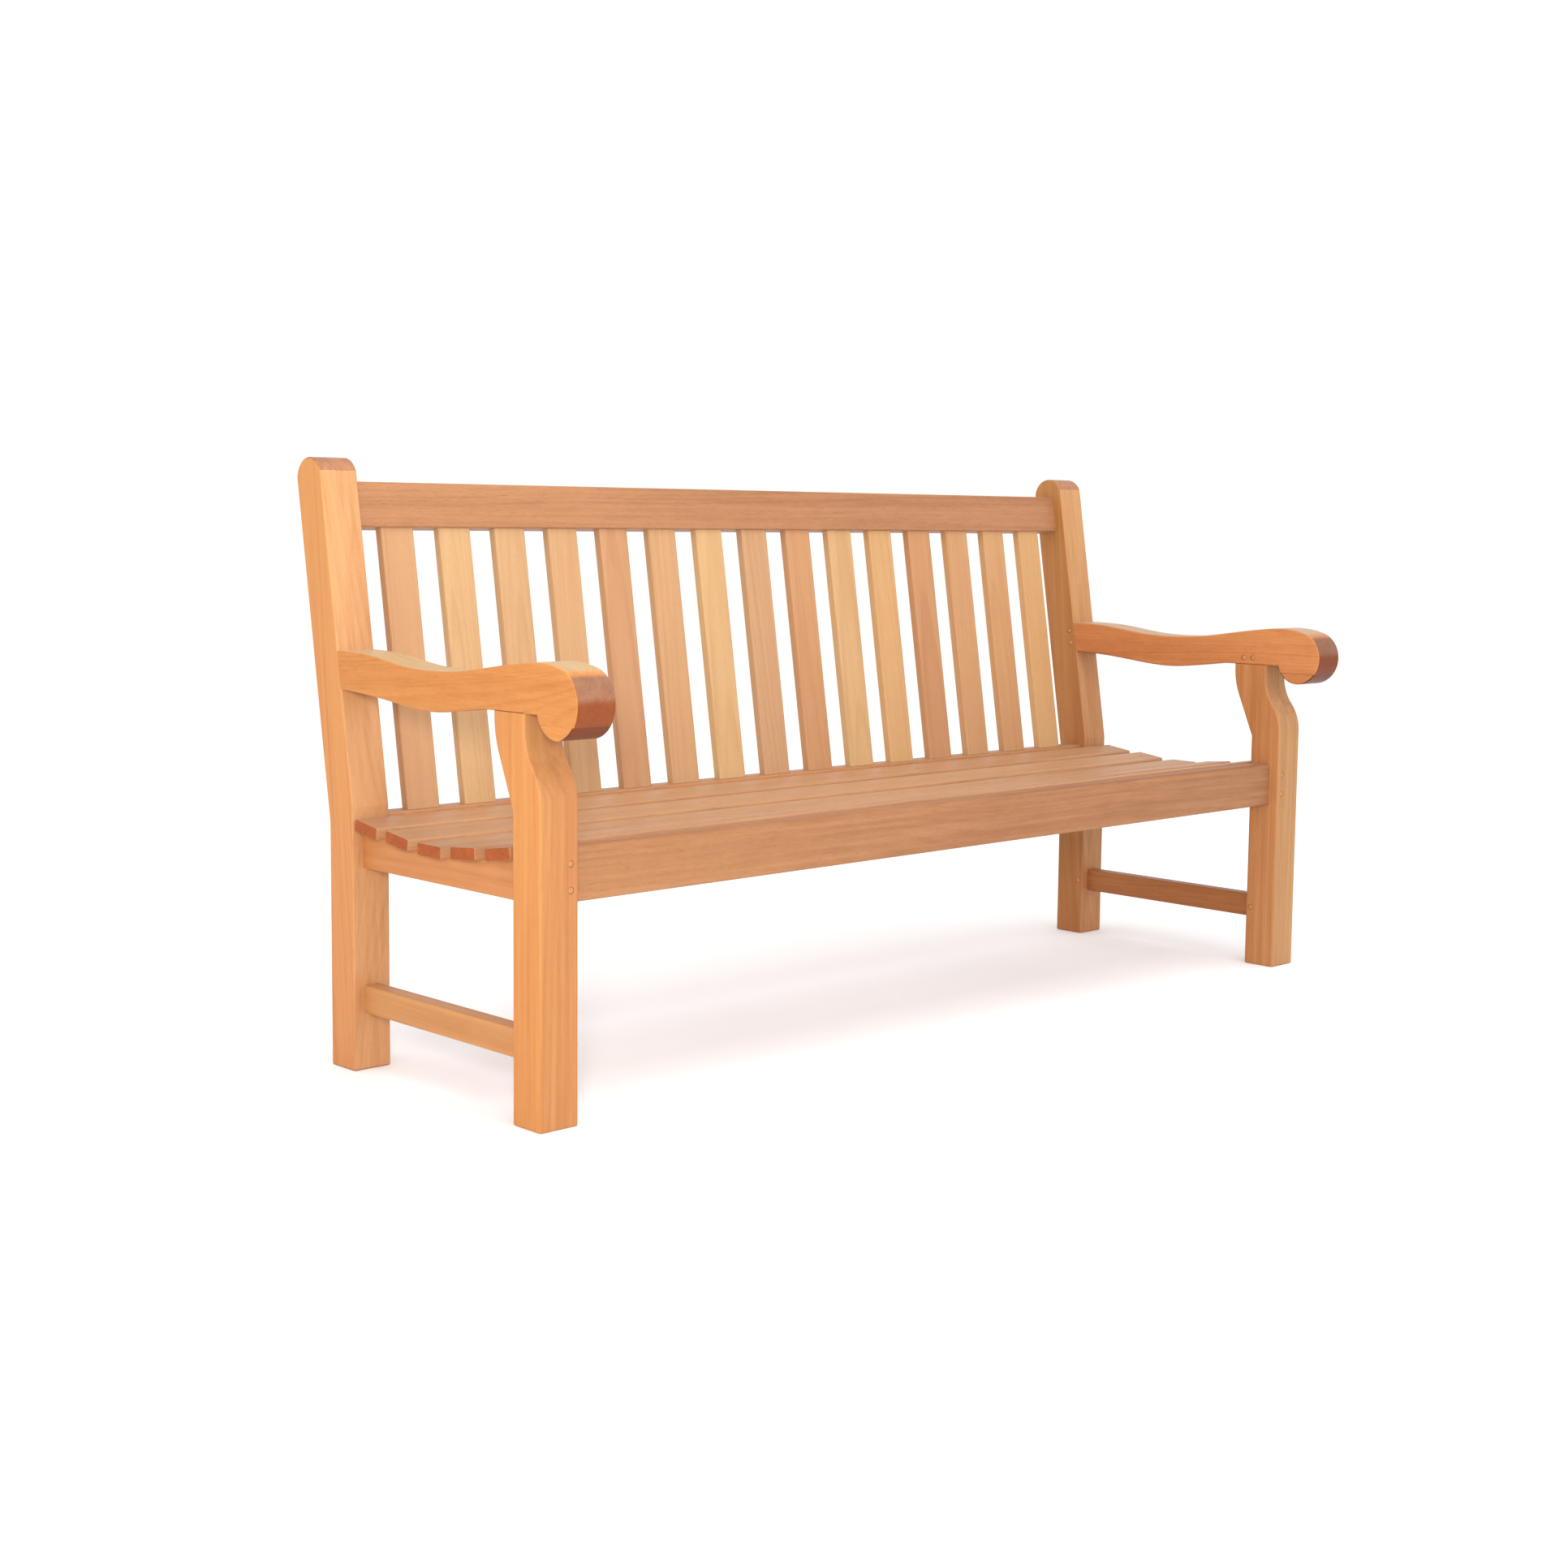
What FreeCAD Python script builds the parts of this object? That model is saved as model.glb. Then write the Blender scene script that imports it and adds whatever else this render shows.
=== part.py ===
import FreeCAD, Part
import os
from math import acos, asin, atan2, cos, degrees, hypot, radians, sin, sqrt

# Garden bench, three-seat, built in pegged mortise-and-tenon joinery. Millimetres, +Z up.
# +X runs along the bench to the viewer's right, and the sitter faces -Y. While the pieces are
# made, Y = 0 is the front face of the front legs; at the end everything moves so that the
# origin is on the floor under the middle of the bench.

V = FreeCAD.Vector

# ---- overall ----
bench_width = 1800.0
bench_height = 918.0
frame_depth = 517.0         # front leg's front face to back leg's rear face, at the floor
leg_width = 65.0            # across the bench, for legs and arms
front_leg_depth = 62.0
back_leg_depth = 62.0

# ---- raked back ----
post_depth = 65.5           # square to the rake
back_rake = 9.0             # degrees from upright
rake_start = 372.0          # height of the bend in the back leg's rear edge
head_rise = 25.0            # rise of the rounded head above its shoulders
top_rail_below_head = 37.0  # top rail's upper edge below the highest point, along the rake
top_rail_height = 70.0
top_rail_thickness = 36.0
top_rail_inset = 20.5       # behind the post's front face

# ---- rails round the seat ----
rail_bottom = 307.0
rail_thickness = 28.0
front_rail_height = 78.0
front_rail_inset = 19.0
rear_rail_height = 78.0
rear_rail_thickness = 36.0
bearer_spacing = 600.0

# ---- stretchers ----
stretcher_bottom = 87.0
stretcher_height = 42.5
stretcher_thickness = 28.0

# ---- seat ----
seat_slat_width = 57.5
seat_slat_thickness = 18.0
seat_leg_gap = 7.5          # between the outer slats and the legs
seat_low_height = 367.0     # top of the middle slat
seat_dish_radius = 1000.0
seat_bed_depth = 2.0         # how far the rails' tops stand up between the slats
# one entry for each slat, rear to front: how much it is raised off the dish, and its tilt in degrees
seat_slat_settles = ((-1.0, -1.0), (0.8, 3.2), (-1.0, 0.6), (1.3, -0.6), (0.0, 0.5))

# ---- back slats ----
back_slat_count = 15
back_slat_width = 60.5
back_slat_end_gap = 50.5    # between the outer slats and the posts
back_slat_thickness = 17.0
back_slat_inset = 26.3      # behind the post's front face

# ---- arms, heights measured from the flat that sits on the front leg ----
arm_seat_height = 568.0     # the flat, above the floor
arm_rise_at_post = 63.0     # top of the arm at the post
arm_drop_at_post = 5.5      # underside of the arm at the post
arm_top_dip = 46.0          # lowest point of the top
arm_under_dip = 12.0        # lowest point of the underside, below the flat
arm_crown = 67.5            # top of the arm over the front leg
arm_flat_behind_leg = 14.0
scroll_radius = 48.5
scroll_back_radius = 41.0
scroll_reach = 31.0         # scroll's centre in front of the legs
scroll_drop = 32.0          # scroll's lowest point, below the flat
scroll_join = 105.0         # degrees round the scroll where the top line runs into it

# ---- front leg's swept top, heights measured down from the arm ----
leg_sweep = 35.0            # how far the top stands back
leg_top_depth = 68.5
leg_sweep_top = 23.0
leg_sweep_height = 100.0
leg_back_radius = 129.0
leg_back_start = 8.0
leg_back_corner = 134.0

# ---- joints ----
tenon_thickness = 14.0
tenon_shoulder = 10.0
tenon_web = 1.5             # wood left between two tenons that cross in a leg
side_tenon_length = 34.0    # tenons that enter a leg from front or back
stub_tenon_length = 12.0
arm_tenon_height = 36.0
leg_tenon_height = 25.0
leg_tenon_length = 48.0
leg_tenon_setback = 5.0     # behind the middle of the leg's top
slat_mortise_depth = 15.0
fit_gap = 0.25
end_gap = 1.0

# ---- pegs and screws ----
peg_diameter = 10.0
peg_gap = 0.1
peg_rest = 16.0             # solid wood left beyond the end of a peg
cross_peg_setback = 13.0    # peg's centre from the shoulder of its joint
side_peg_setback = 9.5
cross_peg_pitch = 36.0
side_peg_pitch = 20.0
arm_peg_pitch = 24.0
plug_diameter = 10.0
plug_depth = 6.0
screw_head_diameter = 8.5
screw_head_height = 3.0
screw_shank_diameter = 4.5
screw_grip = 22.0           # length of shank in the rail

# ---- edges ----
eased = 3.0
front_rail_nose = 8.0
slat_eased = 3.5
end_eased = 1.5
tiny = 0.01

# ---- places worked out from the sizes ----
half_width = bench_width / 2
inner_face = half_width - leg_width
leg_centre = half_width - leg_width / 2
cross_tenon_length = (leg_width - tenon_thickness) / 2 - tenon_web
back_leg_front = frame_depth - back_leg_depth
rake = radians(back_rake)
rake_place = FreeCAD.Placement(V(0, frame_depth, rake_start), FreeCAD.Rotation(V(1, 0, 0), -back_rake))
head_radius = (post_depth**2 / 4 + head_rise**2) / (2 * head_rise)
head_centre = (bench_height - head_radius - rake_start - post_depth / 2 * sin(rake)) / cos(rake)
head_top = head_centre + head_radius
head_shoulder = head_top - head_rise
front_rail_back = front_rail_inset + rail_thickness
rear_rail_front = back_leg_front + (back_leg_depth - rear_rail_thickness) / 2
rear_rail_top = rail_bottom + rear_rail_height
top_rail_top = head_top - top_rail_below_head
top_rail_bottom = top_rail_top - top_rail_height
seat_front = front_leg_depth + seat_leg_gap
seat_back = back_leg_front - seat_leg_gap
seat_middle = (seat_front + seat_back) / 2
seat_slat_count = len(seat_slat_settles)
seat_pitch = (seat_back - seat_front - seat_slat_width) / (seat_slat_count - 1)
arm_middle = arm_seat_height + (arm_rise_at_post + arm_drop_at_post) / 2


# ---- helpers: x, y, z, depth and along are (low, high) pairs ----
def about(centre, size):
    return (centre - size / 2, centre + size / 2)


def grown(pair, gap):
    return (pair[0] - gap, pair[1] + gap)


def block(x, y, z):
    return Part.makeBox(x[1] - x[0], y[1] - y[0], z[1] - z[0], V(x[0], y[0], z[0]))


def raked_block(x, depth, along):
    # depth is measured forward from the post's rear face, along runs up the rake from the bend
    solid = block(x, (-depth[1], -depth[0]), along)
    solid.Placement = rake_place
    return solid


def raked_point(depth, along, x=0.0):
    return rake_place.multVec(V(x, -depth, along))


def post_face_at(height):
    # Y of the post's front face at a height
    return raked_point(post_depth, (height - rake_start - post_depth * sin(rake)) / cos(rake)).y


def yz(y, z):
    return V(0, y, z)


def line(a, b):
    return Part.LineSegment(a, b).toShape()


def chain(points):
    return [line(a, b) for a, b in zip(points, points[1:])]


def arc(centre, radius, start, end):
    # angles in degrees from +Y towards +Z
    def at(angle):
        return centre + V(0, radius * cos(radians(angle)), radius * sin(radians(angle)))
    return Part.Arc(at(start), at((start + end) / 2), at(end)).toShape()


def curve(points, first_direction, last_direction):
    spline = Part.BSplineCurve()
    spline.interpolate(Points=points, InitialTangent=first_direction, FinalTangent=last_direction)
    return spline.toShape()


def plank(edges, x):
    # a closed YZ outline carried from x[0] to x[1]
    face = Part.Face(Part.Wire(Part.__sortEdges__(edges)))
    face.translate(V(x[0], 0, 0))
    return face.extrude(V(x[1] - x[0], 0, 0))


def ease(solid, radius, chosen):
    return solid.makeFillet(radius, [edge for edge in solid.Edges if chosen(edge)])


def along_x(edge):
    return edge.BoundBox.YLength < tiny and edge.BoundBox.ZLength < tiny


def on_cheek(edge):
    # edges that lie on the flat sides of a plank
    return edge.BoundBox.XLength < tiny


def at_foot(edge):
    return along_x(edge) and edge.BoundBox.ZMax < tiny


def mirrored(solid):
    return solid.mirror(V(0, 0, 0), V(1, 0, 0))


# ---- tenons, as the spaces that they fill on the right-hand side ----
def dished_top_at(y):
    radius = seat_dish_radius + seat_slat_thickness - seat_bed_depth
    return seat_low_height + seat_dish_radius - sqrt(radius**2 - (y - seat_middle)**2)


cross_tenon_x = (0, inner_face + cross_tenon_length)
front_rail_tenon_y = about(front_rail_inset + rail_thickness / 2, tenon_thickness)
front_rail_tenon_z = (rail_bottom + tenon_shoulder, rail_bottom + front_rail_height - tenon_shoulder)
rear_rail_tenon_y = about(rear_rail_front + rear_rail_thickness / 2, tenon_thickness)
rear_rail_tenon_z = (rail_bottom + tenon_shoulder, rear_rail_top - slat_mortise_depth - tenon_shoulder)
top_rail_depth = (post_depth - top_rail_inset - top_rail_thickness, post_depth - top_rail_inset)
top_rail_tenon_depth = about(sum(top_rail_depth) / 2, tenon_thickness)
top_rail_tenon_along = (top_rail_bottom + tenon_shoulder, top_rail_top - tenon_shoulder)
side_tenon_x = about(leg_centre, tenon_thickness)
side_tenon_y = grown((front_leg_depth, back_leg_front), side_tenon_length)
side_tenon_z = (rail_bottom + tenon_shoulder, dished_top_at(front_leg_depth) - tenon_shoulder)
stretcher_z = (stretcher_bottom, stretcher_bottom + stretcher_height)
stretcher_tenon_z = grown(stretcher_z, -tenon_shoulder)
bearer_tenon_y = grown((front_rail_back, rear_rail_front), stub_tenon_length)
bearer_tenon_z = (rail_bottom + tenon_shoulder, dished_top_at(seat_middle) - tenon_shoulder)
leg_tenon_y = about(leg_sweep + leg_top_depth / 2 + leg_tenon_setback, leg_tenon_length)
leg_tenon_z = (arm_seat_height, arm_seat_height + leg_tenon_height)
arm_tenon_y = (post_face_at(arm_middle) - side_tenon_length, post_face_at(arm_middle) + side_tenon_length)
arm_tenon_z = about(arm_middle, arm_tenon_height)


# ---- legs ----
def back_leg():
    bend_along = (post_depth * cos(rake) - back_leg_depth) / sin(rake)
    rear_shoulder = raked_point(0, head_shoulder)
    front_shoulder = raked_point(post_depth, head_shoulder)
    up = chain([yz(back_leg_front, 0), yz(frame_depth, 0), yz(frame_depth, rake_start), rear_shoulder])
    head = Part.Arc(rear_shoulder, raked_point(post_depth / 2, head_top), front_shoulder).toShape()
    down = chain([front_shoulder, raked_point(post_depth, bend_along), yz(back_leg_front, 0)])
    leg = plank(up + [head] + down, (inner_face, half_width))
    return ease(leg, eased, lambda edge: on_cheek(edge) or at_foot(edge))


def front_leg():
    # the front edge is an S of two equal arcs, the rear edge an arc that runs on to a corner
    s_top = arm_seat_height - leg_sweep_top
    s_bottom = s_top - leg_sweep_height
    s_radius = (leg_sweep**2 + leg_sweep_height**2) / (4 * leg_sweep)
    s_turn = degrees(asin(leg_sweep_height / 2 / s_radius))
    back_y = leg_sweep + leg_top_depth
    back_start = arm_seat_height - leg_back_start
    corner = yz(front_leg_depth, arm_seat_height - leg_back_corner)
    back_centre = yz(back_y - leg_back_radius, back_start)
    to_corner = corner - back_centre
    swing = acos(leg_back_radius / hypot(to_corner.y, to_corner.z))
    back_arc = arc(back_centre, leg_back_radius, 0, degrees(swing + atan2(to_corner.z, to_corner.y)))
    edges = chain([back_arc.Vertexes[-1].Point, corner, yz(front_leg_depth, 0), yz(0, 0), yz(0, s_bottom)])
    edges.append(arc(yz(s_radius, s_bottom), s_radius, 180, 180 - s_turn))
    edges.append(arc(yz(leg_sweep - s_radius, s_top), s_radius, -s_turn, 0))
    edges += chain([yz(leg_sweep, s_top), yz(leg_sweep, arm_seat_height), yz(back_y, arm_seat_height),
                    yz(back_y, back_start)])
    leg = plank(edges + [back_arc], (inner_face, half_width))
    leg = ease(leg, eased, lambda edge: at_foot(edge) or (
        on_cheek(edge) and edge.BoundBox.ZMin < arm_seat_height - tiny))
    return leg.fuse(block(side_tenon_x, leg_tenon_y, leg_tenon_z)).removeSplitter()


# ---- arms ----
def whole_arm():
    # one outline for the arm and its glued scroll block, run on past the post's front face
    flat = arm_seat_height
    post_y = post_face_at(arm_middle)
    back_y = post_y + leg_width
    scroll_centre = yz(-scroll_reach, flat - scroll_drop + scroll_radius)
    join = radians(scroll_join)
    join_point = scroll_centre + yz(scroll_radius * cos(join), scroll_radius * sin(join))
    back_arc_centre = yz(-scroll_reach, flat - scroll_drop + scroll_back_radius)
    notch_angle = degrees(asin((flat - back_arc_centre.z) / scroll_back_radius))
    front_arc = arc(scroll_centre, scroll_radius, scroll_join, 270)
    back_arc = arc(back_arc_centre, scroll_back_radius, -90, notch_angle)

    def at(share, rise):
        # share of the way from the leg's front face to the post
        return yz(share * post_y, flat + rise)

    top = [yz(back_y, flat + arm_rise_at_post), at(0.82, 0.76 * arm_rise_at_post + 0.24 * arm_top_dip)]
    top += [at(0.665, 0.18 * arm_rise_at_post + 0.82 * arm_top_dip), at(0.52, arm_top_dip)]
    top += [at(0.37, arm_top_dip + 0.16 * (arm_crown - arm_top_dip))]
    top += [at(0.225, arm_top_dip + 0.6 * (arm_crown - arm_top_dip)), at(0.09, arm_crown), join_point]
    flat_back = yz(leg_sweep + leg_top_depth + arm_flat_behind_leg, flat)
    under = [flat_back, at(0.34, -0.35 * arm_under_dip), at(0.49, -arm_under_dip)]
    under += [at(0.63, -0.8 * arm_under_dip), at(0.78, -0.12 * arm_under_dip)]
    under += [at(0.92, 0.7 * arm_drop_at_post), yz(back_y, flat + 1.25 * arm_drop_at_post)]
    edges = [curve(top, V(0, -1, 0), V(0, -sin(join), cos(join))), front_arc, back_arc]
    edges += [line(back_arc.Vertexes[-1].Point, flat_back), curve(under, V(0, 1, 0), V(0, 1, 0))]
    edges.append(line(under[-1], top[0]))
    return ease(plank(edges, (inner_face, half_width)), eased, on_cheek)


def arm_and_scroll_block():
    # the arm's plank ends level with the dip of its underside, and the block is glued on there
    whole = whole_arm()
    wide = grown((inner_face, half_width), 1)
    below = block(wide, (-2 * scroll_radius - scroll_reach, leg_sweep), (0, arm_seat_height - arm_under_dip))
    behind = raked_block(wide, (-2 * leg_width, post_depth), (0, head_top))
    tenon = block(side_tenon_x, arm_tenon_y, arm_tenon_z)
    arm = whole.cut(below).cut(behind).fuse(tenon).removeSplitter()
    return arm, whole.common(below)


# ---- seat ----
def slat_place(number):
    # middle of a slat's top face, close to the dish; number 0 is the rear slat
    y = seat_back - seat_slat_width / 2 - number * seat_pitch
    tilt = asin((y - seat_middle) / seat_dish_radius)
    lift, turn = seat_slat_settles[number]
    z = seat_low_height + seat_dish_radius * (1 - cos(tilt)) + lift
    return FreeCAD.Placement(V(0, y, z), FreeCAD.Rotation(V(1, 0, 0), degrees(tilt) + turn))


def seat_slat(number):
    slat = block((-half_width, half_width), about(0, seat_slat_width), (-seat_slat_thickness, 0))
    slat = ease(ease(slat, slat_eased, along_x), end_eased, on_cheek)
    slat.Placement = slat_place(number)
    return slat


def slat_bed(number):
    # the space that a slat needs on top of a rail
    bed = block(grown((-half_width, half_width), 1), about(0, seat_slat_width + 2 * fit_gap),
                (-seat_slat_thickness, seat_slat_thickness))
    bed.Placement = slat_place(number)
    return bed


def dished_rail(centre_x, y, tenon_y, tenon_z):
    # a rail from front to back whose top follows the dish, with a flat under each slat
    radius = seat_dish_radius + seat_slat_thickness - seat_bed_depth
    angles = [degrees(asin((end - seat_middle) / radius)) - 90 for end in y]
    top = arc(yz(seat_middle, seat_low_height + seat_dish_radius), radius, *angles)
    low = chain([top.Vertexes[-1].Point, yz(y[1], rail_bottom), yz(y[0], rail_bottom),
                 top.Vertexes[0].Point])
    rail = plank([top] + low, about(centre_x, rail_thickness))
    rail = ease(rail, eased, lambda edge: on_cheek(edge) and edge.BoundBox.ZMax < rail_bottom + tiny)
    rail = rail.fuse(block(about(centre_x, tenon_thickness), tenon_y, tenon_z)).removeSplitter()
    for number in range(seat_slat_count):
        rail = rail.cut(slat_bed(number))
    return rail


# ---- rails across the bench ----
def both_ends(x):
    return (-x[1], x[1])


def cross_rail(y, z, tenon_y, tenon_z):
    rail = ease(block((-inner_face, inner_face), y, z), eased, along_x)
    return rail.fuse(block(both_ends(cross_tenon_x), tenon_y, tenon_z)).removeSplitter()


def front_rail():
    y = (front_rail_inset, front_rail_back)
    z = (rail_bottom, rail_bottom + front_rail_height)
    rail = block((-inner_face, inner_face), y, z)

    def is_nose(edge):
        return along_x(edge) and edge.BoundBox.YMax < y[0] + tiny and edge.BoundBox.ZMin > z[1] - tiny
    rail = ease(rail, front_rail_nose, is_nose)
    rail = ease(rail, eased, lambda edge: along_x(edge) and (
        edge.BoundBox.YMin > y[1] - tiny or edge.BoundBox.ZMax < z[0] + tiny))
    return rail.fuse(block(both_ends(cross_tenon_x), front_rail_tenon_y, front_rail_tenon_z)).removeSplitter()


def top_rail():
    # made square, then leaned back with the posts
    level = cross_rail((-top_rail_depth[1], -top_rail_depth[0]), (top_rail_bottom, top_rail_top),
                       (-top_rail_tenon_depth[1], -top_rail_tenon_depth[0]), top_rail_tenon_along)
    level.Placement = rake_place
    return level


def stretcher():
    rail = block(about(leg_centre, stretcher_thickness), (front_leg_depth, back_leg_front), stretcher_z)
    rail = ease(rail, eased, lambda edge: edge.BoundBox.XLength < tiny and edge.BoundBox.ZLength < tiny)
    return rail.fuse(block(side_tenon_x, side_tenon_y, stretcher_tenon_z)).removeSplitter()


# ---- back slats ----
slat_depth = (post_depth - back_slat_inset - back_slat_thickness, post_depth - back_slat_inset)
slat_foot = (rear_rail_top - slat_mortise_depth - rake_start - sum(slat_depth) / 2 * sin(rake)) / cos(rake)
slat_head = top_rail_bottom + slat_mortise_depth
slat_reach = inner_face - back_slat_end_gap - back_slat_width / 2
slat_pitch = 2 * slat_reach / (back_slat_count - 1)
slat_places = [number * slat_pitch - slat_reach for number in range(back_slat_count)]


def back_slat(x):
    slat = block(about(x, back_slat_width), (-slat_depth[1], -slat_depth[0]), (slat_foot, slat_head))
    slat = ease(slat, slat_eased, lambda edge: edge.BoundBox.XLength < tiny and edge.BoundBox.YLength < tiny)
    slat.Placement = rake_place
    return slat


def slat_mortise(x, along):
    return raked_block(about(x, back_slat_width + 2 * fit_gap), grown(slat_depth, fit_gap), along)


# ---- make the wooden pieces, the right side first ----
pieces = {}
pieces["right_front_leg"] = front_leg()
pieces["right_back_leg"] = back_leg()
pieces["right_armrest"], pieces["right_arm_scroll_block"] = arm_and_scroll_block()
pieces["right_side_seat_rail"] = dished_rail(leg_centre, (front_leg_depth, back_leg_front),
                                             side_tenon_y, side_tenon_z)
pieces["right_stretcher"] = stretcher()
pieces["front_seat_rail"] = front_rail()
pieces["rear_seat_rail"] = cross_rail((rear_rail_front, rear_rail_front + rear_rail_thickness),
                                      (rail_bottom, rear_rail_top), rear_rail_tenon_y, rear_rail_tenon_z)
pieces["top_back_rail"] = top_rail()
pieces["right_seat_bearer"] = dished_rail(bearer_spacing / 2, (front_rail_back, rear_rail_front),
                                          bearer_tenon_y, bearer_tenon_z)
seat_slats = ["seat_slat_%d" % (number + 1) for number in range(seat_slat_count)]
for number, name in enumerate(seat_slats):
    pieces[name] = seat_slat(number)
for number, x in enumerate(slat_places):
    pieces["back_slat_%02d" % (number + 1)] = back_slat(x)


def cut(name, tools):
    for tool in tools:
        pieces[name] = pieces[name].cut(tool)


# ---- mortises: a sliding fit at the sides and a little room at the tenon's end ----
def cross_mortise(y, z):
    return block(grown((inner_face, cross_tenon_x[1]), end_gap), grown(y, fit_gap), grown(z, fit_gap))


def side_mortise(x, y, z):
    return block(grown(x, fit_gap), grown(y, end_gap), grown(z, fit_gap))


side_rail_mortise = side_mortise(side_tenon_x, side_tenon_y, side_tenon_z)
stretcher_mortise = side_mortise(side_tenon_x, side_tenon_y, stretcher_tenon_z)
cut("right_front_leg", [cross_mortise(front_rail_tenon_y, front_rail_tenon_z)])
cut("right_front_leg", [side_rail_mortise, stretcher_mortise])
cut("right_back_leg", [cross_mortise(rear_rail_tenon_y, rear_rail_tenon_z)])
cut("right_back_leg", [side_rail_mortise, stretcher_mortise])
cut("right_back_leg", [side_mortise(side_tenon_x, arm_tenon_y, arm_tenon_z)])
cut("right_back_leg", [raked_block(grown((inner_face, cross_tenon_x[1]), end_gap),
                                   grown(top_rail_tenon_depth, fit_gap),
                                   grown(top_rail_tenon_along, fit_gap))])
cut("right_armrest", [block(grown(side_tenon_x, fit_gap), grown(leg_tenon_y, fit_gap),
                            grown(leg_tenon_z, end_gap))])
bearer_mortise = side_mortise(about(bearer_spacing / 2, tenon_thickness), bearer_tenon_y, bearer_tenon_z)
for name in ("front_seat_rail", "rear_seat_rail"):
    cut(name, [bearer_mortise, mirrored(bearer_mortise)])
cut("rear_seat_rail", [slat_mortise(x, (slat_foot, slat_foot + 3 * slat_mortise_depth)) for x in slat_places])
cut("top_back_rail", [slat_mortise(x, (top_rail_bottom - slat_mortise_depth, slat_head + end_gap))
                      for x in slat_places])


# ---- pegs: each is driven from a face through its tenon, and its end rests on solid wood ----
def drive(group, joined, places, direction, length):
    for place in places:
        peg = Part.makeCylinder(peg_diameter / 2, length, place, direction)
        hole = Part.makeCylinder(peg_diameter / 2 + peg_gap, length, place, direction)
        pegs.setdefault(group, []).extend([peg, mirrored(peg)])
        for name in joined:
            across = not name.startswith("right")
            cut(name, [hole, mirrored(hole)] if across else [hole])


def pair(middle, pitch):
    return [middle - pitch / 2, middle + pitch / 2]


pegs = {}
cross_peg_x = inner_face + cross_peg_setback
cross_peg_length = back_leg_depth - peg_rest
side_peg_length = leg_width - peg_rest - end_gap
front_peg_y = front_leg_depth - side_peg_setback
back_peg_y = back_leg_front + side_peg_setback
to_right, to_back, to_front = V(1, 0, 0), V(0, 1, 0), V(0, -1, 0)

drive("front_rail_pegs", ["right_front_leg", "front_seat_rail"],
      [V(cross_peg_x, 0, z) for z in pair(sum(front_rail_tenon_z) / 2, cross_peg_pitch)],
      to_back, front_leg_depth - peg_rest)
drive("rear_rail_pegs", ["right_back_leg", "rear_seat_rail"],
      [V(cross_peg_x, frame_depth, z) for z in pair(sum(rear_rail_tenon_z) / 2, side_peg_pitch)],
      to_front, cross_peg_length)
drive("top_rail_pegs", ["right_back_leg", "top_back_rail"],
      [raked_point(0, along, cross_peg_x) for along in pair(sum(top_rail_tenon_along) / 2, side_peg_pitch)],
      rake_place.Rotation.multVec(to_front), cross_peg_length)
drive("side_rail_pegs", ["right_front_leg", "right_side_seat_rail"],
      [V(inner_face, front_peg_y, z) for z in pair(sum(side_tenon_z) / 2, side_peg_pitch)],
      to_right, side_peg_length)
drive("side_rail_pegs", ["right_back_leg", "right_side_seat_rail"],
      [V(inner_face, back_peg_y, z) for z in pair(sum(side_tenon_z) / 2, side_peg_pitch)],
      to_right, side_peg_length)
drive("stretcher_pegs", ["right_front_leg", "right_stretcher"],
      [V(inner_face, front_peg_y, sum(stretcher_z) / 2)], to_right, side_peg_length)
drive("stretcher_pegs", ["right_back_leg", "right_stretcher"],
      [V(inner_face, back_peg_y, sum(stretcher_z) / 2)], to_right, side_peg_length)
drive("arm_post_pegs", ["right_back_leg", "right_armrest"],
      [V(inner_face, post_face_at(z) + cross_peg_setback, z) for z in pair(arm_middle, arm_peg_pitch)],
      to_right, side_peg_length)
drive("arm_leg_pegs", ["right_front_leg", "right_armrest"],
      [V(inner_face, y, sum(leg_tenon_z) / 2) for y in pair(sum(leg_tenon_y) / 2, side_peg_pitch)],
      to_right, side_peg_length)

# ---- seat screws, each under a wooden plug ----
screws, plugs = [], []
head_bottom = -plug_depth - screw_head_height
shank_end = -seat_slat_thickness - screw_grip
rails_under = {"right_side_seat_rail": leg_centre, "right_seat_bearer": bearer_spacing / 2}


def upright(diameter, x, z):
    return Part.makeCylinder(diameter / 2, z[1] - z[0], V(x, 0, z[0]))


for number, name in enumerate(seat_slats):
    for rail_name, x in rails_under.items():
        head = upright(screw_head_diameter, x, (head_bottom, -plug_depth))
        shank = upright(screw_shank_diameter, x, (shank_end, head_bottom))
        plug = upright(plug_diameter, x, (-plug_depth, 0))
        bore = upright(plug_diameter + 2 * peg_gap, x, (head_bottom, seat_slat_thickness))
        pilot = upright(screw_shank_diameter + 2 * peg_gap, x, (shank_end, head_bottom))
        screw = head.fuse(shank).removeSplitter()
        for solid in (screw, plug, bore, pilot):
            solid.Placement = slat_place(number).multiply(solid.Placement)
        screws += [screw, mirrored(screw)]
        plugs += [plug, mirrored(plug)]
        cut(name, [bore, pilot, mirrored(bore), mirrored(pilot)])
        cut(rail_name, [pilot])

# ---- the left side mirrors the right ----
for name in [name for name in pieces if name.startswith("right")]:
    pieces[name.replace("right", "left", 1)] = mirrored(pieces[name])
for group, solids in pegs.items():
    pieces[group] = Part.Compound(solids)
pieces["seat_screws"] = Part.Compound(screws)
pieces["seat_plugs"] = Part.Compound(plugs)

# ---- move the origin under the middle, and write one file for each piece ----
rearmost = raked_point(0, head_shoulder).y
foremost = -scroll_reach - scroll_radius
to_origin = V(0, -(rearmost + foremost) / 2, 0)
os.makedirs("parts", exist_ok=True)
for name, solid in pieces.items():
    solid.translate(to_origin)
    solid.exportStep("parts/" + name + ".step")
print(len(pieces), "pieces, overall depth", round(rearmost - foremost, 1))
print("front of the front legs at y =", round(to_origin.y, 2))
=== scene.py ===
import math

import bpy
import numpy as np
from mathutils import Matrix, Vector


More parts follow.
